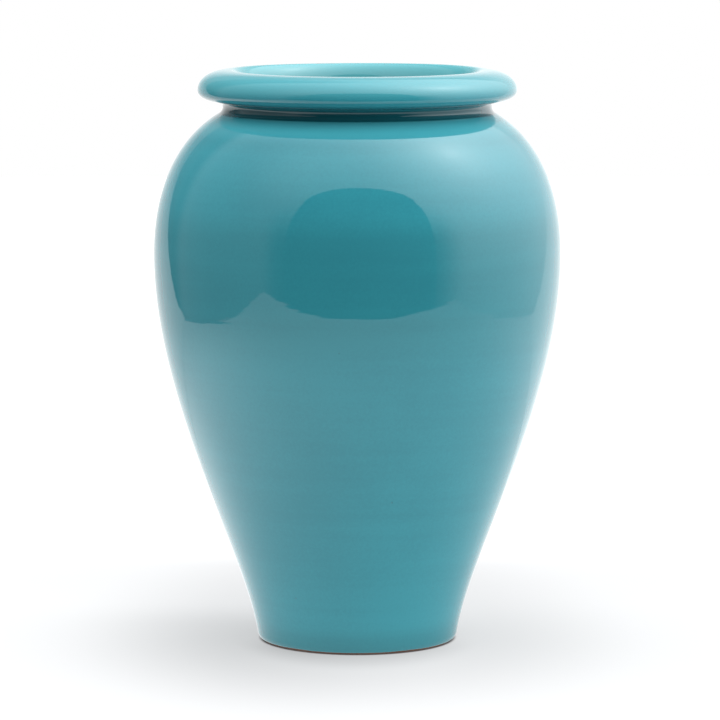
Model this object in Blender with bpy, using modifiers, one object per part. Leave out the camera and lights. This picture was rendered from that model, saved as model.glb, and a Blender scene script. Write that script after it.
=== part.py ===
"""Glazed terracotta pot: a thrown jar with a wide belly, a short throat and a rolled rim.

The clay is made in three sections: the lower wall with the floor, the upper wall, and the rim.
They meet in V-shaped seams filled with slip. One coat of glaze covers the outside from just
above the foot, wraps over the rim and ends a little way down inside. The drain hole, the foot
and the rest of the inside are bare clay.

Metres, +Z up. The origin is the centre of the foot, on the surface that the pot stands on.
Each piece is a closed outline in the plane of radius and height, turned about +Z.
"""

import math

import bpy
from mathutils import Vector
from mathutils.geometry import interpolate_bezier

# Driving dimensions, to the outside of the glaze.
HEIGHT = 0.400
BELLY_RADIUS = 0.142
BELLY_HEIGHT = 0.272
SHOULDER_RADIUS = 0.0958
SHOULDER_HEIGHT = 0.3702
SHOULDER_SLOPE = math.radians(60)  # between the shoulder's end and the vertical
THROAT_RADIUS = 0.0934
THROAT_HEIGHT = 0.3752
THROAT_TOP = 0.3770
UNDER_RIM_RADIUS = 0.1045
UNDER_RIM_HEIGHT = 0.3797
UNDER_RIM_SLOPE = math.radians(17)  # between the rim's underside and the horizontal
RIM_RADIUS = 0.111
RIM_WIDEST_HEIGHT = 0.386
CREST_RADIUS = 0.088
MOUTH_RADIUS = 0.078
MOUTH_HEIGHT = 0.382

# The foot. The bare clay bevel shows between the glaze and the surface under the pot.
FOOT_RADIUS = 0.0664
FOOT_INNER_RADIUS = 0.050
FOOT_RECESS = 0.002
GLAZE_LINE_RADIUS = 0.0688
GLAZE_LINE_HEIGHT = 0.0016
HEEL_RADIUS = 0.0703
HEEL_HEIGHT = 0.0048
FLANK_SLOPE = math.radians(8.7)  # between the wall above the heel and the vertical

# The inside.
WALL = 0.010
FLOOR_HEIGHT = 0.014
FLOOR_CORNER_RADIUS = 0.052
FLOOR_CORNER_RISE = 0.009
DRAIN_RADIUS = 0.011
DRAIN_CHAMFER = 0.0015
INNER_GLAZE_END_HEIGHT = 0.335

# Layers and seams.
GLAZE = 0.0008
GAP = 0.0003
COAT = GLAZE + GAP
SLIP = 0.001
SEAM_GAP = 0.0004
SEAM_DEPTH = 0.004
WALL_SEAM_HEIGHT = 0.180
NECK_SEAM_HEIGHT = 0.3705

TURN_STEPS = 48
MERGE = 0.00001

UP = Vector((0, 1))
OUT = Vector((1, 0))


def point(radius, height):
    return Vector((radius, height))


def slant(angle_from_up):
    """The direction that leans outwards from straight up by this angle."""
    return Vector((math.sin(angle_from_up), math.cos(angle_from_up)))


def chain(start, *legs):
    """One line of points. Each leg is a cubic curve: its first handle, last handle, end and steps."""
    line = [start]
    for leave, arrive, end, steps in legs:
        begin = line[-1]
        line += interpolate_bezier(begin, begin + leave, end + arrive, end, steps + 1)[1:]
    return line


def inset(line, depth):
    """The same line, moved this far to its left, which is into the clay."""
    moved = []
    for index, here in enumerate(line):
        before = line[max(index - 1, 0)]
        after = line[min(index + 1, len(line) - 1)]
        along = (after - before).normalized()
        moved.append(here + depth * Vector((-along.y, along.x)))
    return moved


def outer_surface():
    """The glazed outside, from the foot's glaze line up to the rim's crest."""
    shoulder_way = slant(math.pi - SHOULDER_SLOPE)
    underside_way = slant(math.pi / 2 - UNDER_RIM_SLOPE)
    flank_way = slant(FLANK_SLOPE)
    return chain(
        point(GLAZE_LINE_RADIUS, GLAZE_LINE_HEIGHT),
        (0.001 * slant(math.radians(35)), -0.001 * flank_way, point(HEEL_RADIUS, HEEL_HEIGHT), 2),
        (0.057 * flank_way, -0.102 * UP, point(BELLY_RADIUS, BELLY_HEIGHT), 8),
        (0.0385 * UP, 0.039 * shoulder_way, point(SHOULDER_RADIUS, SHOULDER_HEIGHT), 7),
        (-0.0014 * shoulder_way, -0.0022 * UP, point(THROAT_RADIUS, THROAT_HEIGHT), 3),
        (0.0006 * UP, -0.0006 * UP, point(THROAT_RADIUS, THROAT_TOP), 1),
        (0.0012 * UP, -0.0075 * underside_way, point(UNDER_RIM_RADIUS, UNDER_RIM_HEIGHT), 4),
        (0.0035 * underside_way, -0.0035 * UP, point(RIM_RADIUS, RIM_WIDEST_HEIGHT), 3),
        (0.0082 * UP, 0.0143 * OUT, point(CREST_RADIUS, HEIGHT), 5),
    )


def inner_surface():
    """The inside, from the rim's crest down to the corner of the floor."""
    thickness = WALL + 2 * COAT
    flank_way = slant(FLANK_SLOPE)
    shoulder_way = slant(math.pi - SHOULDER_SLOPE)
    shoulder = point(SHOULDER_RADIUS, SHOULDER_HEIGHT) - thickness * slant(math.pi / 2 - SHOULDER_SLOPE)
    belly = point(BELLY_RADIUS - thickness, BELLY_HEIGHT)
    corner_end = point(FLOOR_CORNER_RADIUS + FLOOR_CORNER_RISE, FLOOR_HEIGHT + FLOOR_CORNER_RISE)
    corner_start = point(FLOOR_CORNER_RADIUS, FLOOR_HEIGHT + COAT)
    return chain(
        point(CREST_RADIUS, HEIGHT),
        (-0.0055 * OUT, 0.009 * UP, point(MOUTH_RADIUS, MOUTH_HEIGHT), 4),
        (-0.010 * UP, -0.006 * shoulder_way, shoulder, 3),
        (0.031 * shoulder_way, 0.034 * UP, belly, 6),
        (-0.098 * UP, 0.055 * flank_way, corner_end, 7),
        (-0.005 * flank_way, 0.005 * OUT, corner_start, 3),
    )


def crossing(line, height):
    """Where a line that rises all the way passes this height."""
    for low, high in zip(line, line[1:]):
        if low.y <= height <= high.y:
            return low.lerp(high, (height - low.y) / (high.y - low.y))
    raise ValueError(f"the line doesn't pass the height {height}")


def between(line, low, high):
    """The points of a line that lie between two heights."""
    return [p for p in line if low < p.y < high]


def seam_face(outside, inside, height):
    """A V across the wall, from the outside to the inside, with its tip down."""
    outer_edge = crossing(outside, height)
    inner_edge = crossing(inside, height)
    tip = (outer_edge + inner_edge) / 2 - SEAM_DEPTH * UP
    return [outer_edge, tip, inner_edge]


def seam_heights(height):
    """The heights of a seam's four faces: the clay below, the slip's two faces, and the clay above."""
    slip_low = height + SEAM_GAP
    slip_high = slip_low + SLIP
    return height, slip_low, slip_high, slip_high + SEAM_GAP


def floor_outline(corner):
    """The bare clay from the floor's corner through the drain hole and under the foot."""
    recess_edge = FOOT_INNER_RADIUS - FOOT_RECESS
    return [
        point(corner.x, FLOOR_HEIGHT),
        point(DRAIN_RADIUS + DRAIN_CHAMFER, FLOOR_HEIGHT),
        point(DRAIN_RADIUS, FLOOR_HEIGHT - DRAIN_CHAMFER),
        point(DRAIN_RADIUS, FOOT_RECESS + DRAIN_CHAMFER),
        point(DRAIN_RADIUS + DRAIN_CHAMFER, FOOT_RECESS),
        point(recess_edge, FOOT_RECESS),
        point(FOOT_INNER_RADIUS, 0),
        point(FOOT_RADIUS, 0),
    ]


def material(name, colour, roughness):
    """A plain finish with no metal in it."""
    made = bpy.data.materials.new(name)
    made.use_nodes = True
    shader = made.node_tree.nodes["Principled BSDF"]
    shader.inputs["Base Color"].default_value = (*colour, 1)
    shader.inputs["Roughness"].default_value = roughness
    shader.inputs["Metallic"].default_value = 0
    return made


def turned(name, outline, finish, collection):
    """A ring-shaped solid: the closed outline turned once about +Z.

    The outline goes up its outer side, so it is reversed for the Screw modifier.
    """
    corners = [(p.x, 0, p.y) for p in reversed(outline)]
    edges = [(i, (i + 1) % len(corners)) for i in range(len(corners))]
    mesh = bpy.data.meshes.new(name)
    mesh.from_pydata(corners, edges, [])
    mesh.materials.append(finish)
    piece = bpy.data.objects.new(name, mesh)
    collection.objects.link(piece)
    screw = piece.modifiers.new("Turn", "SCREW")
    screw.axis = "Z"
    screw.angle = math.tau
    screw.steps = TURN_STEPS
    screw.render_steps = TURN_STEPS
    screw.use_merge_vertices = True
    screw.merge_threshold = MERGE
    screw.use_smooth_shade = True
    return piece


def build():
    for leftover in list(bpy.data.objects):
        bpy.data.objects.remove(leftover)
    collection = bpy.data.collections.new("terracotta_pot")
    bpy.context.scene.collection.children.link(collection)

    clay = material("bare_terracotta", (0.52, 0.20, 0.095), 0.85)
    slip = material("slip", (0.46, 0.18, 0.09), 0.9)
    glaze = material("turquoise_glaze", (0.035, 0.33, 0.38), 0.08)

    outer = outer_surface()
    inner = inner_surface()
    outside = inset(outer + inner[1:], COAT)
    crest = len(outer) - 1
    inside = outside[crest:][::-1]
    outside = outside[: crest + 1]

    wall_low, wall_slip_low, wall_slip_high, wall_high = seam_heights(WALL_SEAM_HEIGHT)
    neck_low, neck_slip_low, neck_slip_high, neck_high = seam_heights(NECK_SEAM_HEIGHT)

    def across(height):
        return seam_face(outside, inside, height)

    lower_wall = (
        between(outside, 0, wall_low)
        + across(wall_low)
        + between(inside, FLOOR_HEIGHT + GAP, wall_low)[::-1]
        + floor_outline(inside[0])
    )
    upper_wall = (
        between(outside, wall_high, neck_low)
        + across(neck_low)
        + between(inside, wall_high, neck_low)[::-1]
        + across(wall_high)[::-1]
    )
    rim = (
        between(outside, neck_high, HEIGHT)
        + between(inside, neck_high, HEIGHT - COAT - GAP)[::-1]
        + across(neck_high)[::-1]
    )
    wall_slip = across(wall_slip_high) + across(wall_slip_low)[::-1]
    neck_slip = across(neck_slip_high) + across(neck_slip_low)[::-1]

    glaze_end = crossing(inner[::-1], INNER_GLAZE_END_HEIGHT)
    coated = outer + between(inner[1:], glaze_end.y, HEIGHT) + [glaze_end]
    coat = coated + inset(coated, GLAZE)[::-1]

    turned("lower_wall", lower_wall, clay, collection)
    turned("wall_seam_slip", wall_slip, slip, collection)
    turned("upper_wall", upper_wall, clay, collection)
    turned("neck_seam_slip", neck_slip, slip, collection)
    turned("rim_roll", rim, clay, collection)
    turned("glaze_coat", coat, glaze, collection)


build()
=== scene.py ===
"""Looks of the glazed terracotta pot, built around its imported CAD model.

Every piece is turned about +Z from the same outline as the CAD part, in metres, with its origin at
the centre of the foot: the glaze, the three clay sections and the two slip seams. Each one is a
closed solid with the marks of its making in its mesh: throwing rings, a slight out-of-roundness,
the rolled edges of the glaze and the finger ridges inside. The materials are procedural.

The stage is a sheet of white paper in a soft light tent. The world and the paper each have three
looks, for three kinds of ray: what the glaze mirrors, what lights the matt surfaces, and what the
camera sees. The rest of the floor shows to the camera only, and the paper's sweep behind the pot
shows to the other rays only. The pot's own materials look the same to every ray.
"""

import math

import bpy
import numpy as np
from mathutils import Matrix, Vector
from mathutils.geometry import interpolate_bezier


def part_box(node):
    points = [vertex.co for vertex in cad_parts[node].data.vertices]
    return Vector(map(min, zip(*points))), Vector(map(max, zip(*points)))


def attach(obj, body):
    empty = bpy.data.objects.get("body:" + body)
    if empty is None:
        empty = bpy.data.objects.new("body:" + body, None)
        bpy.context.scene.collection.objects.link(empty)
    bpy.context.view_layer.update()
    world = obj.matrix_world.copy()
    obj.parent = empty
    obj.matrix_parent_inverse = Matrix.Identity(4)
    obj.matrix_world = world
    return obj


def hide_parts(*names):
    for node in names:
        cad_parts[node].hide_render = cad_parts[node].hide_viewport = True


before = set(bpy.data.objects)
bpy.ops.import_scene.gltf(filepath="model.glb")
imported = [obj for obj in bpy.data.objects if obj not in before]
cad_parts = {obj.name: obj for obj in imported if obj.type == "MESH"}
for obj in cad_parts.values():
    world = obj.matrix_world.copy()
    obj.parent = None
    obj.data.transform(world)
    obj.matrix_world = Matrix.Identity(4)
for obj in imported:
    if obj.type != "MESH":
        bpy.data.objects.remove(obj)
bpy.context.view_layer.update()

# ---------------------------------------------------------------- the pot's outline, as in the CAD

_, GLAZE_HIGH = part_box("glaze_coat")
HEIGHT = GLAZE_HIGH.z
BELLY_RADIUS = GLAZE_HIGH.x
BELLY_HEIGHT = 0.272
SHOULDER_RADIUS = 0.0958
SHOULDER_HEIGHT = 0.3702
SHOULDER_SLOPE = math.radians(60)
THROAT_RADIUS = 0.0934
THROAT_HEIGHT = 0.3752
THROAT_TOP = 0.3770
UNDER_RIM_RADIUS = 0.1045
UNDER_RIM_HEIGHT = 0.3797
UNDER_RIM_SLOPE = math.radians(17)
RIM_RADIUS = 0.111
RIM_WIDEST_HEIGHT = 0.386
CREST_RADIUS = 0.088
MOUTH_RADIUS = 0.078
MOUTH_HEIGHT = 0.382

FOOT_RADIUS = 0.0664
FOOT_INNER_RADIUS = 0.050
FOOT_RECESS = 0.002
GLAZE_LINE_RADIUS = 0.0688
GLAZE_LINE_HEIGHT = 0.0016
HEEL_RADIUS = 0.0703
HEEL_HEIGHT = 0.0048
FLANK_SLOPE = math.radians(8.7)

WALL = 0.010
FLOOR_HEIGHT = 0.014
FLOOR_CORNER_RADIUS = 0.052
FLOOR_CORNER_RISE = 0.009
DRAIN_RADIUS = 0.011
DRAIN_EDGE = 0.0015
INNER_GLAZE_END_HEIGHT = 0.335

GLAZE = 0.0008
GAP = 0.0003
COAT = GLAZE + GAP
SLIP = 0.001
SEAM_GAP = 0.0004
SEAM_DEPTH = 0.004
WALL_SEAM_HEIGHT = 0.180
NECK_SEAM_HEIGHT = 0.3705

# ---------------------------------------------------------------- small edges of the clay

RECESS_EDGE = 0.001
FOOT_INNER_EDGE = 0.0008
FOOT_OUTER_EDGE = 0.0009
SEAM_BEAD_RADIUS = 0.0007
SEAM_BEAD_SINK = 0.0005
PLAIN_STEP = 0.0012  # from one outline point to the next on a flat stretch
TOOLED_STEP = 0.00045  # the same, under the foot, where the tool marks are fine

# ---------------------------------------------------------------- marks of the making

GLAZE_SEGMENTS = 288
CLAY_SEGMENTS = 216
GLAZE_RING_PITCH = 0.0049  # throwing rings, as they show through the glaze
GLAZE_RING_DEPTH = 0.000012
FINGER_RING_PITCH = 0.0085  # finger ridges on the bare inside
FINGER_RING_DEPTH = 0.00035
TRIM_RING_PITCH = 0.0019  # tool marks under the foot
TRIM_RING_DEPTH = 0.00006
BEAD = 0.00012  # how far the glaze stands up where it ends
OUT_OF_ROUND = 0.00012

ROUND_FULL_HEIGHT = 0.25  # from here up the pot is as far out of round as it gets
RIM_WARP_LOW = 0.355  # the rim warps up and down from here
RIM_WARP_HIGH = 0.392
FOOT_BEAD = (0.0008, 0.0007)  # how far from the glaze's end a bead stands, and its width
END_BEAD = (0.001, 0.0009)

# Waves round the pot, each with a size, a count and a phase.
ROUND_WAVES = ((1.0, 2, 0.6), (0.6, 3, 2.1))  # times OUT_OF_ROUND
RIM_WAVES = ((1.3, 2, 1.1), (0.8, 3, -0.4))  # times OUT_OF_ROUND, up and down
DRIP_WAVES = ((0.004, 3, 0.4), (0.0025, 7, 2.0), (0.0012, 16, 0.0))
FOOT_WAVES = ((0.00022, 5, 1.0), (0.00016, 11, 0.3))
RUNS = ((0.010, 1.1, 0.05), (0.007, 4.3, 0.04))  # long drips: length, place and width of each

UP = Vector((0, 1))
OUT = Vector((1, 0))


# ---------------------------------------------------------------- outlines

def point(radius, height):
    return Vector((radius, height))


def slant(angle_from_up):
    """The direction that leans outwards from straight up by this angle."""
    return Vector((math.sin(angle_from_up), math.cos(angle_from_up)))


def chain(start, *legs):
    """One line of points. Each leg is a cubic curve: its first handle, last handle, end and steps."""
    line = [start]
    for leave, arrive, end, steps in legs:
        begin = line[-1]
        line += interpolate_bezier(begin, begin + leave, end + arrive, end, steps + 1)[1:]
    return line


def inset(line, depth):
    """The same line, moved this far to its left, which is into the clay."""
    moved = []
    for index, here in enumerate(line):
        before = line[max(index - 1, 0)]
        after = line[min(index + 1, len(line) - 1)]
        along = (after - before).normalized()
        moved.append(here + depth * Vector((-along.y, along.x)))
    return moved


def outer_surface():
    """The glazed outside, from the foot's glaze line up to the rim's crest."""
    shoulder_way = slant(math.pi - SHOULDER_SLOPE)
    underside_way = slant(math.pi / 2 - UNDER_RIM_SLOPE)
    flank_way = slant(FLANK_SLOPE)
    heel_start = 0.001 * slant(math.radians(35))
    return chain(
        point(GLAZE_LINE_RADIUS, GLAZE_LINE_HEIGHT),
        (heel_start, -0.001 * flank_way, point(HEEL_RADIUS, HEEL_HEIGHT), 8),
        (0.057 * flank_way, -0.102 * UP, point(BELLY_RADIUS, BELLY_HEIGHT), 220),
        (0.0385 * UP, 0.039 * shoulder_way, point(SHOULDER_RADIUS, SHOULDER_HEIGHT), 96),
        (-0.0014 * shoulder_way, -0.0022 * UP, point(THROAT_RADIUS, THROAT_HEIGHT), 10),
        (0.0006 * UP, -0.0006 * UP, point(THROAT_RADIUS, THROAT_TOP), 10),
        (0.0012 * UP, -0.0075 * underside_way, point(UNDER_RIM_RADIUS, UNDER_RIM_HEIGHT), 22),
        (0.0035 * underside_way, -0.0035 * UP, point(RIM_RADIUS, RIM_WIDEST_HEIGHT), 14),
        (0.0082 * UP, 0.0143 * OUT, point(CREST_RADIUS, HEIGHT), 32),
    )


def inner_surface():
    """The inside, from the rim's crest down to the corner of the floor."""
    thickness = WALL + 2 * COAT
    flank_way = slant(FLANK_SLOPE)
    shoulder_way = slant(math.pi - SHOULDER_SLOPE)
    shoulder_end = point(SHOULDER_RADIUS, SHOULDER_HEIGHT)
    shoulder = shoulder_end - thickness * slant(math.pi / 2 - SHOULDER_SLOPE)
    belly = point(BELLY_RADIUS - thickness, BELLY_HEIGHT)
    corner_end = point(FLOOR_CORNER_RADIUS + FLOOR_CORNER_RISE, FLOOR_HEIGHT + FLOOR_CORNER_RISE)
    corner_start = point(FLOOR_CORNER_RADIUS, FLOOR_HEIGHT + COAT)
    return chain(
        point(CREST_RADIUS, HEIGHT),
        (-0.0055 * OUT, 0.009 * UP, point(MOUTH_RADIUS, MOUTH_HEIGHT), 24),
        (-0.010 * UP, -0.006 * shoulder_way, shoulder, 22),
        (0.031 * shoulder_way, 0.034 * UP, belly, 84),
        (-0.098 * UP, 0.055 * flank_way, corner_end, 190),
        (-0.005 * flank_way, 0.005 * OUT, corner_start, 14),
    )


def crossing(line, height):
    """Where a line that rises all the way passes this height."""
    for low, high in zip(line, line[1:]):
        if low.y <= height <= high.y:
            return low.lerp(high, (height - low.y) / (high.y - low.y))
    raise ValueError(f"the line doesn't pass the height {height}")


def between(line, low, high):
    """The points of a line that lie between two heights."""
    return [p for p in line if low < p.y < high]


def smooth(value, low, high):
    """0 below low, 1 above high, and a smooth rise between them."""
    t = np.clip((value - low) / (high - low), 0, 1)
    return t * t * (3 - 2 * t)


# ---------------------------------------------------------------- meshes

def waves(turn, terms):
    """A sum of sine waves round the pot."""
    return sum(size * np.sin(count * turn + phase) for size, count, phase in terms)


def hump(value, place, width):
    """A smooth hump, 1 high, at this place."""
    return np.exp(-((value - place) / width) ** 2)


def settle(radius, height, turn):
    """How every piece leans and warps a little in drying and firing: the new radius and height."""
    wide = OUT_OF_ROUND * waves(turn, ROUND_WAVES)
    rim = smooth(height, RIM_WARP_LOW, RIM_WARP_HIGH)
    lift = rim * OUT_OF_ROUND * waves(turn, RIM_WAVES)
    return radius + wide * smooth(height, 0.0, ROUND_FULL_HEIGHT), height + lift


def solid(name, radius, height, finish, slot, *nodes):
    """A closed ring-shaped mesh from grids of radius and height: a row for each outline point, and
    a column for each step of the turn. The outline goes up its outer side."""
    rows, columns = radius.shape
    turn = np.arange(columns) * (math.tau / columns)
    radius, height = settle(radius, height, turn)
    places = np.stack([radius * np.cos(turn), radius * np.sin(turn), height], axis=-1)
    index = np.arange(rows * columns).reshape(rows, columns)
    up = np.roll(index, -1, axis=0)
    faces = np.stack([index, np.roll(index, -1, axis=1), np.roll(up, -1, axis=1), up], axis=-1)
    mesh = bpy.data.meshes.new(name)
    mesh.from_pydata(places.reshape(-1, 3).tolist(), [], faces.reshape(-1, 4).tolist())
    mesh.materials.append(finish)
    mesh.shade_smooth()
    piece = bpy.data.objects.new(name, mesh)
    bpy.context.scene.collection.objects.link(piece)
    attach(piece, "root")
    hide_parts(*nodes)
    return piece


def unit_normals(radius, height):
    """The unit normal at each point of a closed outline, pointing out of the solid."""
    along_r = np.roll(radius, -1) - np.roll(radius, 1)
    along_z = np.roll(height, -1) - np.roll(height, 1)
    length = np.maximum(np.hypot(along_r, along_z), 1e-9)
    return along_z / length, -along_r / length


def spiral(travel, turn, pitch):
    """An uneven spiral ridge, from -1 to 1, for each outline point and each step of the turn."""
    phase = (math.tau / pitch) * travel[:, None] + turn
    slow = 0.21 * phase
    uneven = 0.65 + 0.2 * np.sin(3 * turn + slow) + 0.15 * np.sin(2 * turn - 0.37 * slow + 1.7)
    return uneven * np.sin(phase + 0.7 * np.sin(0.31 * phase + turn + 0.5))


def clay_piece(name, parts, finish, slot, *nodes):
    """A turned solid. Each part is a stretch of the outline, the pitch of its ridges and their depth."""
    line = [p for points, _, _ in parts for p in points]
    pitch = np.concatenate([[part[1]] * len(part[0]) for part in parts])
    depth = np.concatenate([[part[2]] * len(part[0]) for part in parts])
    radius = np.array([p.x for p in line])
    height = np.array([p.y for p in line])
    soften = np.ones(7) / 7
    depth = np.convolve(np.concatenate([depth[-3:], depth, depth[:3]]), soften, "valid")
    travel = np.concatenate([[0], np.cumsum(np.hypot(np.diff(radius), np.diff(height)))])
    turn = np.arange(CLAY_SEGMENTS) * (math.tau / CLAY_SEGMENTS)
    ridge = np.where(depth[:, None] > 0, spiral(travel, turn, pitch[:, None]), 0) * depth[:, None]
    out_r, out_z = unit_normals(radius, height)
    radius = radius[:, None] + out_r[:, None] * ridge
    height = height[:, None] + out_z[:, None] * ridge
    return solid(name, radius, height, finish, slot, *nodes)


def corner_arc(centre, size, start, end, steps):
    """Points on an arc about a centre. Angles are in degrees from the direction away from the axis."""
    angles = [math.radians(start + (end - start) * i / steps) for i in range(steps + 1)]
    return [centre + size * Vector((math.cos(a), math.sin(a))) for a in angles]


def straight(start, end, spacing):
    """Evenly spaced points from start up to, and without, the end."""
    steps = max(1, round((end - start).length / spacing))
    return [start.lerp(end, i / steps) for i in range(steps)]


def glaze_piece(outer, inner, finish):
    """The coat of glaze: it rolls to a bead at the foot, and ends in an uneven line inside the rim."""
    line = outer + inner[1:]
    radius = np.array([p.x for p in line])
    height = np.array([p.y for p in line])
    travel = np.concatenate([[0], np.cumsum(np.hypot(np.diff(radius), np.diff(height)))])
    crest = travel[len(outer) - 1]
    end = travel[np.where((travel > crest) & (height > INNER_GLAZE_END_HEIGHT))[0][-1]]
    outside = travel[travel <= end]
    half = GLAZE / 2
    cap = [math.radians(a) for a in (30, 60, 90, 120, 150)]
    under = np.linspace(end, 0, 90)
    # Each row of the outline: how far along the surface it is, past its end, and under it.
    along = np.concatenate([outside, [end] * len(cap), under, [0] * len(cap)])
    beyond = np.array([half * math.sin(a) for a in cap])
    past = np.concatenate([0 * outside, beyond, 0 * under, -beyond])
    below = np.concatenate(
        [
            0 * outside,
            [half - half * math.cos(a) for a in cap],
            0 * under + GLAZE,
            [half + half * math.cos(a) for a in cap],
        ]
    )
    turn = np.arange(GLAZE_SEGMENTS) * (math.tau / GLAZE_SEGMENTS)
    drips = waves(turn, DRIP_WAVES)
    drips += sum(length * hump(turn, place, width) for length, place, width in RUNS)
    foot_line = waves(turn, FOOT_WAVES)
    near_end = smooth(along, crest + 0.03, end)[:, None]
    near_foot = (1 - smooth(along, 0.0, 0.006))[:, None]
    place = along[:, None] + near_end * drips + near_foot * foot_line
    place = np.maximum(place, 0)
    out_r = np.gradient(height, travel)
    out_z = -np.gradient(radius, travel)

    def at(values):
        return np.interp(place, travel, values)

    bead = BEAD * (hump(along[:, None], *FOOT_BEAD) + hump((end - along)[:, None], *END_BEAD))
    low_third = 1 - 0.75 * smooth(at(height), 0.10, 0.24)
    rings = GLAZE_RING_DEPTH * low_third * spiral(along, turn, GLAZE_RING_PITCH)
    top = np.concatenate([[1.0] * len(outside), [0.3] * len(cap), 0 * under, [0.3] * len(cap)])[:, None]
    lift = top * (bead + rings) - below[:, None]
    grid_r = at(radius) + at(out_r) * lift - past[:, None] * at(out_z)
    grid_z = at(height) + at(out_z) * lift + past[:, None] * at(out_r)
    return solid("glaze", grid_r, grid_z, finish, "turquoise_glaze", "glaze_coat")


def seam_face(outside, inside, height):
    """A V across the wall, from the outside to the inside, with its tip down."""
    outer_edge = crossing(outside, height)
    inner_edge = crossing(inside, height)
    tip = (outer_edge + inner_edge) / 2 - SEAM_DEPTH * UP
    return [outer_edge, tip, inner_edge]


def seam_heights(height):
    """The heights of a seam's four faces: the clay below, the slip's two faces, and the clay above."""
    slip_low = height + SEAM_GAP
    slip_high = slip_low + SLIP
    return height, slip_low, slip_high, slip_high + SEAM_GAP


def floor_parts(corner):
    """The floor, the drain hole and the underside, with their ridges."""
    drain = DRAIN_RADIUS + DRAIN_EDGE
    floor_edge = point(drain, FLOOR_HEIGHT - DRAIN_EDGE)
    under_edge = point(drain, FOOT_RECESS + DRAIN_EDGE)
    recess_edge = FOOT_INNER_RADIUS - FOOT_RECESS
    recess_corner = point(recess_edge, FOOT_RECESS - RECESS_EDGE)
    inner_corner = point(FOOT_INNER_RADIUS + FOOT_INNER_EDGE, FOOT_INNER_EDGE)
    outer_corner = point(FOOT_RADIUS, FOOT_OUTER_EDGE)
    return [
        (straight(point(corner.x, FLOOR_HEIGHT), point(drain + 0.003, FLOOR_HEIGHT), PLAIN_STEP),
         FINGER_RING_PITCH, 0.8 * FINGER_RING_DEPTH),
        (corner_arc(floor_edge, DRAIN_EDGE, 90, 180, 5), TRIM_RING_PITCH, 0),
        (corner_arc(under_edge, DRAIN_EDGE, 180, 270, 5), TRIM_RING_PITCH, 0),
        (straight(point(drain + 0.002, FOOT_RECESS), point(recess_edge, FOOT_RECESS), TOOLED_STEP),
         TRIM_RING_PITCH, TRIM_RING_DEPTH),
        (corner_arc(recess_corner, RECESS_EDGE, 90, 30, 3), TRIM_RING_PITCH, 0),
        (corner_arc(inner_corner, FOOT_INNER_EDGE, 210, 270, 3), TRIM_RING_PITCH, 0),
        (straight(point(FOOT_INNER_RADIUS + 0.002, 0), point(FOOT_RADIUS, 0), PLAIN_STEP),
         TRIM_RING_PITCH, 0),
        (corner_arc(outer_corner, FOOT_OUTER_EDGE, 270, 320, 4), TRIM_RING_PITCH, 0),
    ]


def build_clay(outer, inner, clay, slip):
    """The three clay sections and the two slip seams, under the glaze."""
    surface = inset(outer + inner[1:], COAT)
    crest = len(outer) - 1
    inside = surface[crest:][::-1]
    outside = surface[: crest + 1]
    wall_low, wall_slip_low, wall_slip_high, wall_high = seam_heights(WALL_SEAM_HEIGHT)
    neck_low, neck_slip_low, neck_slip_high, neck_high = seam_heights(NECK_SEAM_HEIGHT)
    # The finger ridges end below the longest drip of the glaze.
    glazed_inside = INNER_GLAZE_END_HEIGHT - 0.018

    def plain(points):
        return points, FINGER_RING_PITCH, 0

    def ridged(points):
        return points, FINGER_RING_PITCH, FINGER_RING_DEPTH

    def across(height):
        return seam_face(outside, inside, height)

    clay_piece(
        "lower_wall_clay",
        [
            plain(between(outside, 0, wall_low) + across(wall_low)),
            ridged(between(inside, FLOOR_HEIGHT + GAP, wall_low)[::-1]),
            *floor_parts(inside[0]),
        ],
        clay, "bare_terracotta", "lower_wall",
    )
    clay_piece(
        "upper_wall_clay",
        [
            plain(between(outside, wall_high, neck_low) + across(neck_low)),
            plain(between(inside, glazed_inside, neck_low)[::-1]),
            ridged(between(inside, wall_high, glazed_inside)[::-1]),
            plain(across(wall_high)[::-1]),
        ],
        clay, "bare_terracotta", "upper_wall",
    )
    clay_piece(
        "rim_clay",
        [
            plain(between(outside, neck_high, HEIGHT)),
            plain(between(inside, neck_high, HEIGHT - COAT - GAP)[::-1] + across(neck_high)[::-1]),
        ],
        clay, "bare_terracotta", "rim_roll",
    )
    # The slip that was squeezed out of the wall's seam stands as a small bead on the inside.
    squeezed = crossing(inside, (wall_slip_low + wall_slip_high) / 2) - SEAM_BEAD_SINK * OUT
    bead = corner_arc(squeezed, SEAM_BEAD_RADIUS, 120, 240, 6)
    clay_piece(
        "wall_seam_bead",
        [plain(across(wall_slip_high) + bead + across(wall_slip_low)[::-1])],
        slip, "slip", "wall_seam_slip",
    )
    clay_piece(
        "neck_seam_ring",
        [plain(across(neck_slip_high) + across(neck_slip_low)[::-1])],
        slip, "slip", "neck_seam_slip",
    )


# ---------------------------------------------------------------- materials

IOR = 1.5
GLAZE_DARK = (0.019, 0.160, 0.198, 1)
GLAZE_LIGHT = (0.022, 0.184, 0.224, 1)
# Painted light: a paler turquoise over the top of the rim, its crest and down into the mouth.
GLAZE_PAINTED_LIGHT = (0.07, 0.28, 0.31, 1)  # over the rim and into the mouth
# Painted light on the top of the shoulder, just under the rim.
GLAZE_SHOULDER_LIGHT = (0.050, 0.300, 0.358, 1)
# Painted shade in the throat, under the overhang of the rim.
GLAZE_THROAT_SHADE = (0.001, 0.050, 0.066, 1)  # in the throat
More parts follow.
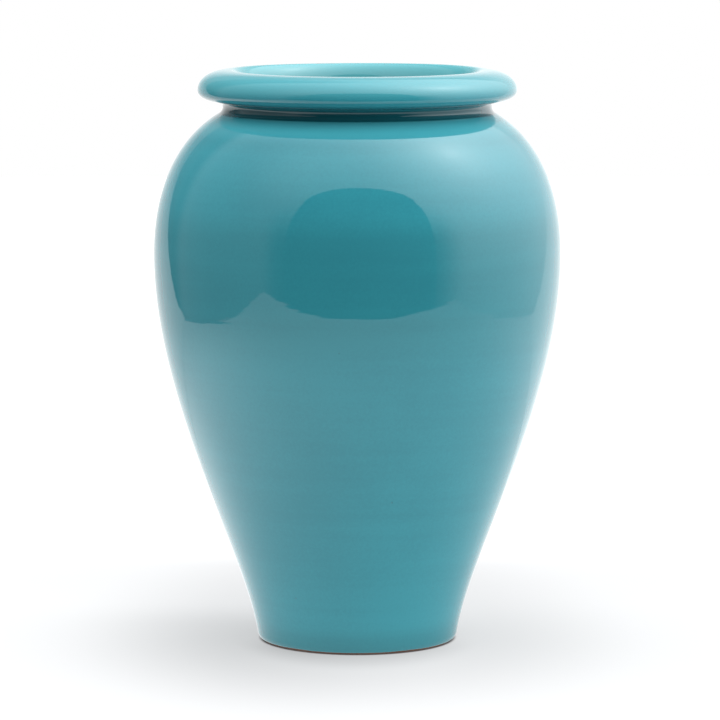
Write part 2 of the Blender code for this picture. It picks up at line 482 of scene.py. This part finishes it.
# Darker round the belly, and painted shade low at the foot where it meets the floor.
GLAZE_BAND_AND_FOOT_SHADE = (0.012, 0.085, 0.10, 1)  # round the belly and at the foot
GLAZE_PINHOLE = (0.02, 0.07, 0.08, 1)
CLAY_DARK = (0.36, 0.125, 0.060, 1)
CLAY_LIGHT = (0.56, 0.235, 0.125, 1)
SLIP_DARK = (0.33, 0.115, 0.055, 1)
SLIP_LIGHT = (0.47, 0.19, 0.10, 1)
SPECK_DARK = (0.16, 0.06, 0.035, 1)
SPECK_LIGHT = (0.75, 0.50, 0.36, 1)
CLAY_BLOOM = (0.72, 0.52, 0.42, 1)
# Painted shade at the bare foot's edge, where it meets the floor.
FOOT_CONTACT_SHADE = (0.022, 0.012, 0.008, 1)


class Nodes:
    """Short calls that add shader nodes to one tree. Each call returns the new node's output."""

    def __init__(self, tree):
        self.tree = tree
        tree.nodes.clear()

    def put(self, kind, outcome=0, **inputs):
        """A node of this kind, with the named inputs filled in."""
        node = self.tree.nodes.new(kind)
        for name, value in inputs.items():
            self.feed(node.inputs[name], value)
        return node.outputs[outcome]

    def join(self, kind, *values):
        """A node of this kind, with its inputs filled in from the first on."""
        node = self.tree.nodes.new(kind)
        for socket, value in zip(node.inputs, values):
            self.feed(socket, value)
        return node.outputs[0]

    def show(self, kind, surface):
        """Make this shader the surface of the material or the world."""
        output = self.tree.nodes.new(kind)
        self.tree.links.new(surface, output.inputs["Surface"])

    def feed(self, socket, value):
        if isinstance(value, bpy.types.NodeSocket):
            self.tree.links.new(value, socket)
        else:
            socket.default_value = value

    def maths(self, operation, *values):
        node = self.tree.nodes.new("ShaderNodeMath")
        node.operation = operation
        for socket, value in zip(node.inputs, values):
            self.feed(socket, value)
        return node.outputs[0]

    def add(self, a, b):
        return self.maths("ADD", a, b)

    def times(self, a, b):
        return self.maths("MULTIPLY", a, b)

    def rise(self, value, low, high, start=0.0, end=1.0):
        """A smooth change from start to end while the value goes from low to high."""
        node = self.tree.nodes.new("ShaderNodeMapRange")
        node.interpolation_type = "SMOOTHSTEP"
        for name, number in (("From Min", low), ("From Max", high), ("To Min", start), ("To Max", end)):
            node.inputs[name].default_value = number
        self.feed(node.inputs["Value"], value)
        return node.outputs[0]

    def blend(self, factor, first, second):
        node = self.tree.nodes.new("ShaderNodeMix")
        node.data_type = "RGBA"
        self.feed(node.inputs["Factor"], factor)
        self.feed(node.inputs["A"], first)
        self.feed(node.inputs["B"], second)
        return node.outputs["Result"]

    def length(self, a, b):
        """The length of the hypotenuse over two sides."""
        return self.maths("SQRT", self.add(self.times(a, a), self.times(b, b)))

    def split(self, place):
        node = self.tree.nodes.new("ShaderNodeSeparateXYZ")
        self.feed(node.inputs[0], place)
        return tuple(node.outputs)

    def noise(self, place, scale, detail=2.0, roughness=0.5):
        return self.put("ShaderNodeTexNoise", Vector=place, Scale=scale, Detail=detail, Roughness=roughness)

    def stretched(self, place, scale):
        return self.put("ShaderNodeMapping", Vector=place, Scale=scale)

    def cells(self, place, scale):
        """The distance to the nearest of many scattered points, in cell sizes."""
        return self.put("ShaderNodeTexVoronoi", Vector=place, Scale=scale)

    def dot(self, place, way):
        node = self.tree.nodes.new("ShaderNodeVectorMath")
        node.operation = "DOT_PRODUCT"
        self.feed(node.inputs[0], place)
        node.inputs[1].default_value = way
        return node.outputs["Value"]

    def mix(self, factor, first, second):
        """One number that goes from first to second while the factor goes from 0 to 1."""
        node = self.tree.nodes.new("ShaderNodeMix")
        self.feed(node.inputs["Factor"], factor)
        self.feed(node.inputs["A"], first)
        self.feed(node.inputs["B"], second)
        return node.outputs["Result"]

    def bump(self, height, distance, strength=1.0, below=None):
        node = self.tree.nodes.new("ShaderNodeBump")
        node.inputs["Strength"].default_value = strength
        node.inputs["Distance"].default_value = distance
        self.feed(node.inputs["Height"], height)
        if below is not None:
            self.feed(node.inputs["Normal"], below)
        return node.outputs[0]


def surface_material(name):
    """A new material's node helper, and the place on the piece in metres."""
    material = bpy.data.materials.new(name)
    material.use_nodes = True
    nodes = Nodes(material.node_tree)
    place = nodes.put("ShaderNodeTexCoord", "Object")
    return material, nodes, place


def shade(nodes, colour, roughness, normal):
    """One plain shader, for the glaze and for the bare clay."""
    shader = nodes.tree.nodes.new("ShaderNodeBsdfPrincipled")
    shader.inputs["IOR"].default_value = IOR
    nodes.feed(shader.inputs["Base Color"], colour)
    nodes.feed(shader.inputs["Roughness"], roughness)
    nodes.feed(shader.inputs["Normal"], normal)
    nodes.show("ShaderNodeOutputMaterial", shader.outputs[0])


def glaze_material():
    """Gloss turquoise glaze: a little cloudy and darker round the belly, with painted shade in the
    throat under the rim and at the foot, and painted light over the rim, into the mouth and on the
    top of the shoulder, with a few pinholes and a faintly uneven skin."""
    material, nodes, place = surface_material("turquoise_glaze")
    x, y, height = nodes.split(place)
    away = nodes.length(x, y)
    clouds = nodes.noise(place, 9.0, 3.0)
    banded = nodes.noise(nodes.stretched(place, (5, 5, 130)), 1.0, 3.0)
    mottle = nodes.noise(place, 520.0, 3.0, 0.6)
    thickness = nodes.add(
        nodes.times(clouds, 0.5),
        nodes.add(nodes.times(banded, 0.2), nodes.times(mottle, 0.3)),
    )
    colour = nodes.blend(nodes.rise(thickness, 0.36, 0.64), GLAZE_DARK, GLAZE_LIGHT)
    # Painted light: the crest, the top of the rim and the inside of the mouth are made paler, as if lit
    # from above.
    crest = nodes.times(nodes.rise(height, 0.3950, 0.4002), 0.45)
    mouth = nodes.times(nodes.rise(away, 0.0900, 0.0860), nodes.rise(height, 0.360, 0.384))
    rim = nodes.rise(height, 0.3850, 0.3900, 0.0, 0.35)
    paler = nodes.maths("MAXIMUM", nodes.maths("MAXIMUM", crest, rim), nodes.times(mouth, 0.8))
    colour = nodes.blend(paler, colour, GLAZE_PAINTED_LIGHT)
    # Painted light: a paler band on the top of the shoulder, just below the throat.
    shoulder = nodes.times(nodes.rise(height, 0.3540, 0.3665), nodes.rise(height, 0.3706, 0.3696))
    colour = nodes.blend(nodes.times(shoulder, 0.8), colour, GLAZE_SHOULDER_LIGHT)
    # Painted shade: the throat under the rim is darkened.
    throat_shade = nodes.times(nodes.rise(height, 0.3695, 0.3705), nodes.rise(height, 0.3785, 0.3760))
    throat_shade = nodes.times(throat_shade, nodes.rise(away, 0.0870, 0.0900))
    colour = nodes.blend(nodes.times(throat_shade, 0.85), colour, GLAZE_THROAT_SHADE)
    # Painted shade at the foot, darkest where it meets the floor; the band round the belly is darker too.
    foot = nodes.rise(height, 0.0240, 0.0020, 0.0, 0.45)
    belly = nodes.times(nodes.rise(height, 0.195, 0.240, 0.0, 0.25), nodes.rise(height, 0.315, 0.290))
    colour = nodes.blend(nodes.add(foot, belly), colour, GLAZE_BAND_AND_FOOT_SHADE)
    pinhole = nodes.rise(nodes.cells(place, 62.0), 0.045, 0.020)
    sparse = nodes.rise(nodes.noise(place, 30.0), 0.56, 0.62)
    pinhole = nodes.times(pinhole, sparse)
    colour = nodes.blend(nodes.times(pinhole, 0.55), colour, GLAZE_PINHOLE)
    roughness = nodes.add(nodes.rise(mottle, 0.3, 0.7, 0.018, 0.036), nodes.times(pinhole, 0.25))
    # The skin is smoother in the throat and under the rim, where the glaze runs together.
    skin = nodes.add(nodes.rise(height, 0.3705, 0.3675), nodes.rise(height, 0.3815, 0.3845))
    peel = nodes.bump(nodes.times(nodes.noise(place, 130.0, 3.0), skin), 0.000022)
    waves = nodes.bump(nodes.times(nodes.noise(place, 40.0, 1.0), skin), 0.00006, below=peel)
    ripples = nodes.bump(nodes.times(banded, skin), 0.00006, below=waves)
    normal = nodes.bump(nodes.times(pinhole, -1.0), 0.0002, below=ripples)
    shade(nodes, colour, roughness, normal)
    return material


def clay_material(name, dark, light, ring_scale):
    """Bare fired clay: uneven colour, grog specks, fine scratches round the pot and a dusty bloom."""
    material, nodes, place = surface_material(name)
    patches = nodes.noise(place, 14.0, 4.0)
    grain = nodes.noise(place, 900.0, 3.0, 0.65)
    scratches = nodes.noise(nodes.stretched(place, (22, 22, ring_scale)), 1.0, 4.0, 0.6)
    fine = nodes.add(nodes.times(grain, 0.25), nodes.times(scratches, 0.25))
    mixed = nodes.add(nodes.times(patches, 0.5), fine)
    colour = nodes.blend(nodes.rise(mixed, 0.34, 0.66), dark, light)
    specks = nodes.rise(nodes.cells(place, 330.0), 0.16, 0.08)
    speck_light = nodes.blend(nodes.rise(grain, 0.45, 0.55), SPECK_DARK, SPECK_LIGHT)
    colour = nodes.blend(nodes.times(specks, 0.55), colour, speck_light)
    bloom = nodes.times(nodes.rise(nodes.noise(place, 32.0, 5.0, 0.6), 0.52, 0.72), 0.35)
    colour = nodes.blend(bloom, colour, CLAY_BLOOM)
    # Painted contact shade: the foot's outer edge is darkened under the glaze line, where it stands on the
    # floor.
    x, y, height = nodes.split(place)
    contact_shade = nodes.times(nodes.rise(nodes.length(x, y), 0.0648, 0.0662), nodes.rise(height, 0.0030, 0.0010))
    colour = nodes.blend(nodes.times(contact_shade, 0.9), colour, FOOT_CONTACT_SHADE)
    roughness = nodes.rise(grain, 0.3, 0.7, 0.78, 0.94)
    rough = nodes.bump(grain, 0.00025, 0.7)
    lined = nodes.bump(scratches, 0.0006, 0.6, below=rough)
    normal = nodes.bump(specks, 0.0002, 0.5, below=lined)
    shade(nodes, colour, roughness, normal)
    return material


# ---------------------------------------------------------------- stage

# The white sheet under the pot, anticlockwise from its front left corner, and its sweep up behind.
SHEET = (
    (-1.10, -0.89), (-0.50, -0.83), (0.0, -0.81), (0.50, -0.78), (1.00, -0.71),
    (0.90, -0.45), (0.91, -0.16), (0.98, 0.40), (-0.93, 0.40), (-0.88, -0.02), (-0.82, -0.28),
)
SWEEP_CURVE = ((0.40, 0.001), (0.62, 0.01), (0.78, 0.30), (1.10, 0.60))  # y and z of its handles
SWEEP_TOP = ((1.35, 0.85), (2.2, 1.9))
SWEEP_HALF_WIDTH = 0.96
FLOOR_HALF = 4.0
FLOOR_DROP = 0.0005  # the rest of the floor is this far below the sheet
KEY_AZIMUTH = math.radians(94)  # from the front towards the right
KEY_ELEVATION = math.radians(52)
FILL_AZIMUTH = math.radians(-50)
FILL_ELEVATION = math.radians(48)
KEY_STRENGTH = 7.2
KEY_SPREAD = 0.57  # in radians
FILL_STRENGTH = 0.5
FILL_SPREAD = 0.45
WALL_GLOW = 0.32  # of the tent's walls, away from both lights
OPENING_GLOW = 0.03
OPENING_MIDDLE = 0.06  # the opening's place and size, at one unit of distance ahead
OPENING_HALF_WIDTH = 0.94
OPENING_LOW = -0.3
OPENING_TALL = 1.185
WHITE = (1, 1, 1, 1)
SHEET_GLOW = 1.6  # how bright the sheet is to the matt surfaces
SHEET_SHINE = 1.15  # how bright the glaze mirrors the sheet, away from its patches
SHEET_PATCHES = (  # each one's centre, size and strength
    ((-0.45, -0.02), (0.27, 0.26), 0.90),
    ((0.85, 0.15), (0.35, 0.35), 0.55),
    # Painted shadow: this patch darkens the sheet round the pot's foot, as the glaze mirrors it.
    ((0.03, -0.05), (0.14, 0.14), -0.60),
)
SOFT_LIGHTS = (  # azimuth, elevation and strength
    (0.0, math.radians(90), 2.5),
    (math.radians(-100), math.radians(65), 2.5),
    (math.radians(85), 0.0, 3.2),
)


def tent_world():
    """A light tent. Its brightness depends on the direction and on the kind of ray: the glaze mirrors
    pale walls that glow most up on the right, with a dark opening to the front; the matt surfaces
    are lit by the wide soft lights instead; and the camera sees a white background."""
    world = bpy.data.worlds.new("light_tent")
    world.use_nodes = True
    bpy.context.scene.world = world
    nodes = Nodes(world.node_tree)
    place = nodes.put("ShaderNodeTexCoord", "Generated")
    x, y, z = nodes.split(place)
    # What the glaze mirrors: the key light's glow over the whole tent, and a smaller one on the left.
    from_key = angle_from(nodes, place, KEY_AZIMUTH, KEY_ELEVATION)
    key = nodes.maths("EXPONENT", nodes.times(from_key, -1 / KEY_SPREAD))
    from_fill = nodes.times(angle_from(nodes, place, FILL_AZIMUTH, FILL_ELEVATION), 1 / FILL_SPREAD)
    fill = nodes.maths("EXPONENT", nodes.times(nodes.times(from_fill, from_fill), -1.0))
    lights = nodes.add(nodes.times(key, KEY_STRENGTH), nodes.times(fill, FILL_STRENGTH))
    walls = nodes.add(WALL_GLOW, lights)
    left_back = nodes.times(nodes.rise(y, 0.42, 0.60), nodes.rise(x, 0.2, -0.2))
    walls = nodes.times(walls, nodes.add(1.0, nodes.times(left_back, -0.65)))
    # The opening is a rounded rectangle in front of the pot, from below the table up to 41 degrees.
    ahead = nodes.maths("MAXIMUM", nodes.times(y, -1.0), 0.001)
    across = nodes.maths("DIVIDE", x, ahead)
    rise = nodes.maths("DIVIDE", z, ahead)
    wide = nodes.times(nodes.add(across, -OPENING_MIDDLE), 1 / OPENING_HALF_WIDTH)
    wide = nodes.maths("POWER", nodes.maths("ABSOLUTE", wide), 3.0)
    tall = nodes.times(nodes.add(rise, -OPENING_LOW), 1 / OPENING_TALL)
    tall = nodes.maths("POWER", nodes.maths("MAXIMUM", tall, 0.0), 3.0)
    opening = nodes.rise(nodes.add(wide, tall), 1.03, 0.97)
    # The walls are darker beside the opening, down low.
    turn = nodes.maths("ARCTAN2", x, nodes.times(y, -1.0))
    beside = nodes.maths("MAXIMUM", nodes.rise(turn, 0.66, 1.25), nodes.rise(turn, -0.70, -1.05))
    dark = nodes.times(nodes.rise(beside, 1.0, 0.0), nodes.rise(rise, 0.80, 0.10))
    walls = nodes.times(walls, nodes.add(1.0, nodes.times(dark, -0.85)))
    mirrored = nodes.mix(opening, walls, OPENING_GLOW)
    soft = soft_light(nodes, place)
    paths = nodes.tree.nodes.new("ShaderNodeLightPath")
    strength = nodes.mix(paths.outputs["Is Glossy Ray"], soft, mirrored)
    strength = nodes.mix(paths.outputs["Is Camera Ray"], strength, 1.0)
    light = nodes.put("ShaderNodeBackground", Color=WHITE, Strength=strength)
    nodes.show("ShaderNodeOutputWorld", light)


def facing(nodes, place, azimuth, elevation):
    """The cosine of the angle between a direction and the place's own direction."""
    low = math.cos(elevation)
    way = (math.sin(azimuth) * low, -math.cos(azimuth) * low, math.sin(elevation))
    return nodes.dot(place, way)


def angle_from(nodes, place, azimuth, elevation):
    """The angle in radians between the place's direction and this one."""
    near = nodes.maths("MAXIMUM", facing(nodes, place, azimuth, elevation), -1.0)
    return nodes.maths("ARCCOSINE", nodes.maths("MINIMUM", near, 1.0))


def lobe(nodes, place, azimuth, elevation, strength):
    """A wide soft light: the square of the cosine from its middle."""
    near = nodes.maths("MAXIMUM", facing(nodes, place, azimuth, elevation), 0.0)
    return nodes.times(nodes.times(near, near), strength)


def soft_light(nodes, place):
    """What lights the matt surfaces: a wide light overhead, one high on the left, one on the right."""
    total = 0.0
    for azimuth, elevation, strength in SOFT_LIGHTS:
        total = nodes.add(total, lobe(nodes, place, azimuth, elevation, strength))
    return total


def stage_piece(name, corners, faces, material):
    mesh = bpy.data.meshes.new(name)
    mesh.from_pydata(corners, [], faces)
    mesh.materials.append(material)
    mesh.shade_smooth()
    piece = bpy.data.objects.new(name, mesh)
    bpy.context.scene.collection.objects.link(piece)
    return piece


def glow_at(nodes, x, y, centre, size, peak):
    """A soft round patch of light on the sheet, or of painted shadow where its peak is below zero."""
    across = nodes.times(nodes.add(x, -centre[0]), 1 / size[0])
    along = nodes.times(nodes.add(y, -centre[1]), 1 / size[1])
    square = nodes.add(nodes.times(across, across), nodes.times(along, along))
    return nodes.times(nodes.maths("EXPONENT", nodes.times(square, -0.5)), peak)


def white_sheet():
    """A sheet of white paper. In the glaze it is brightest on the left; it glows evenly onto the
    matt surfaces; and the camera sees it as the rest of the floor."""
    material, nodes, place = surface_material("white_sheet")
    x, y, _ = nodes.split(place)
    shine = SHEET_SHINE
    for centre, size, peak in SHEET_PATCHES:
        shine = nodes.add(shine, glow_at(nodes, x, y, centre, size, peak))
    mirrored = nodes.put("ShaderNodeEmission", Color=WHITE, Strength=shine)
    paths = nodes.tree.nodes.new("ShaderNodeLightPath")
    paper = nodes.put("ShaderNodeEmission", Color=WHITE, Strength=SHEET_GLOW)
    seen = seen_floor(nodes, x, y)
    unmirrored = nodes.join("ShaderNodeMixShader", paths.outputs["Is Camera Ray"], paper, seen)
    sheet = nodes.join("ShaderNodeMixShader", paths.outputs["Is Glossy Ray"], unmirrored, mirrored)
    nodes.show("ShaderNodeOutputMaterial", sheet)
    stage_piece("sheet", [(a, b, 0) for a, b in SHEET], [tuple(range(len(SHEET)))], material)


def seen_floor(nodes, x, y):
    """The floor as the camera sees it: almost white, with a gentle shadow round the foot that is
    deepest close in front of it and on its left, and a dark ring where the foot stands. Most of
    this shadow is drawn into the floor's own glow; the diffuse part adds the little that the soft
    lights cast."""
    depth = nodes.times(y, nodes.rise(y, 0.02, -0.02, 0.45, 0.70))
    far = nodes.length(x, depth)
    fill = nodes.add(nodes.rise(far, 0.10, 0.22, 0.56, 0.665), nodes.rise(far, 0.25, 0.60, 0.0, 0.25))
    fill = nodes.add(fill, nodes.rise(y, 0.28, 0.40, 0.0, 0.16))
    left = nodes.times(nodes.rise(x, 0.06, -0.10), nodes.rise(far, 0.04, 0.27, 0.14, 0.0))
    left = nodes.times(left, nodes.rise(y, 0.14, 0.04, 0.35, 1.0))
    contact = nodes.times(nodes.rise(far, 0.055, 0.090, 0.11, 0.0), nodes.rise(y, 0.0, -0.05))
    behind = nodes.rise(y, 0.10, 0.25, 0.0, 0.035)
    shadow = nodes.add(behind, nodes.add(left, contact))
    # Painted shadow: a dark ring on the floor where the foot stands.
    ring = nodes.rise(nodes.length(x, y), 0.0670, 0.0705)
    lit = nodes.times(nodes.maths("SUBTRACT", fill, shadow), ring)
    soft = nodes.put("ShaderNodeEmission", Color=(0.99, 1.0, 1.01, 1), Strength=lit)
    shadowed = nodes.put("ShaderNodeBsdfDiffuse", Color=(0.145, 0.146, 0.148, 1))
    return nodes.join("ShaderNodeAddShader", soft, shadowed)


def far_floor():
    """The rest of the floor that the camera sees, past the edges of the sheet."""
    material, nodes, place = surface_material("white_floor")
    x, y, _ = nodes.split(place)
    nodes.show("ShaderNodeOutputMaterial", seen_floor(nodes, x, y))
    sides = ((-1, -1), (1, -1), (1, 1), (-1, 1))
    corners = [(across * FLOOR_HALF, along * FLOOR_HALF, -FLOOR_DROP) for across, along in sides]
    piece = stage_piece("floor", corners, [(0, 1, 2, 3)], material)
    piece.visible_glossy = False
    piece.visible_diffuse = False


def sweep():
    """The sheet's sweep behind the pot. It shows in the glaze and lights the matt surfaces, but the
    camera doesn't see it and it casts no shadow."""
    material, nodes, place = surface_material("paper_sweep")
    x, _, z = nodes.split(place)
    dimming = nodes.times(z, nodes.add(nodes.times(x, 0.5), -0.75))
    strength = nodes.add(nodes.add(1.45, nodes.times(x, 0.25)), dimming)
    strength = nodes.maths("MAXIMUM", strength, 0.5)
    nodes.show("ShaderNodeOutputMaterial", nodes.put("ShaderNodeEmission", Color=WHITE, Strength=strength))
    path = interpolate_bezier(*(Vector(place) for place in SWEEP_CURVE), 24)
    path += [Vector(place) for place in SWEEP_TOP]
    corners = [(side * SWEEP_HALF_WIDTH, p.x, p.y) for p in path for side in (-1, 1)]
    faces = [(2 * i, 2 * i + 1, 2 * i + 3, 2 * i + 2) for i in range(len(path) - 1)]
    piece = stage_piece("sweep", corners, faces, material)
    piece.visible_camera = False
    piece.visible_shadow = False


CAMERA_SIDE = 0.0019
CAMERA_DISTANCE = 7.382 * HEIGHT
CAMERA_HEIGHT = 1.412 * HEIGHT
CAMERA_TILT = 0.124  # below the horizon, in radians
CAMERA_SENSOR = 36.0  # millimetres, as the lens is
CAMERA_LENS = 212.4


def camera():
    """The photograph's viewpoint: looking 7 degrees down, from 7.4 pot heights away."""
    data = bpy.data.cameras.new("camera")
    data.sensor_width = CAMERA_SENSOR
    data.lens = CAMERA_LENS
    data.clip_start = 0.05
    data.clip_end = 50
    viewer = bpy.data.objects.new("camera", data)
    viewer.location = (CAMERA_SIDE, -CAMERA_DISTANCE, CAMERA_HEIGHT)
    viewer.rotation_euler = (math.pi / 2 - CAMERA_TILT, 0, 0)
    bpy.context.scene.collection.objects.link(viewer)
    bpy.context.scene.camera = viewer


# ---------------------------------------------------------------- the scene

outer = outer_surface()
inner = inner_surface()
clay = clay_material("bare_terracotta", CLAY_DARK, CLAY_LIGHT, 420)
slip = clay_material("slip", SLIP_DARK, SLIP_LIGHT, 160)
glaze_piece(outer, inner, glaze_material())
build_clay(outer, inner, clay, slip)

tent_world()
white_sheet()
far_floor()
sweep()
camera()
bpy.context.scene.view_settings.view_transform = "Standard"
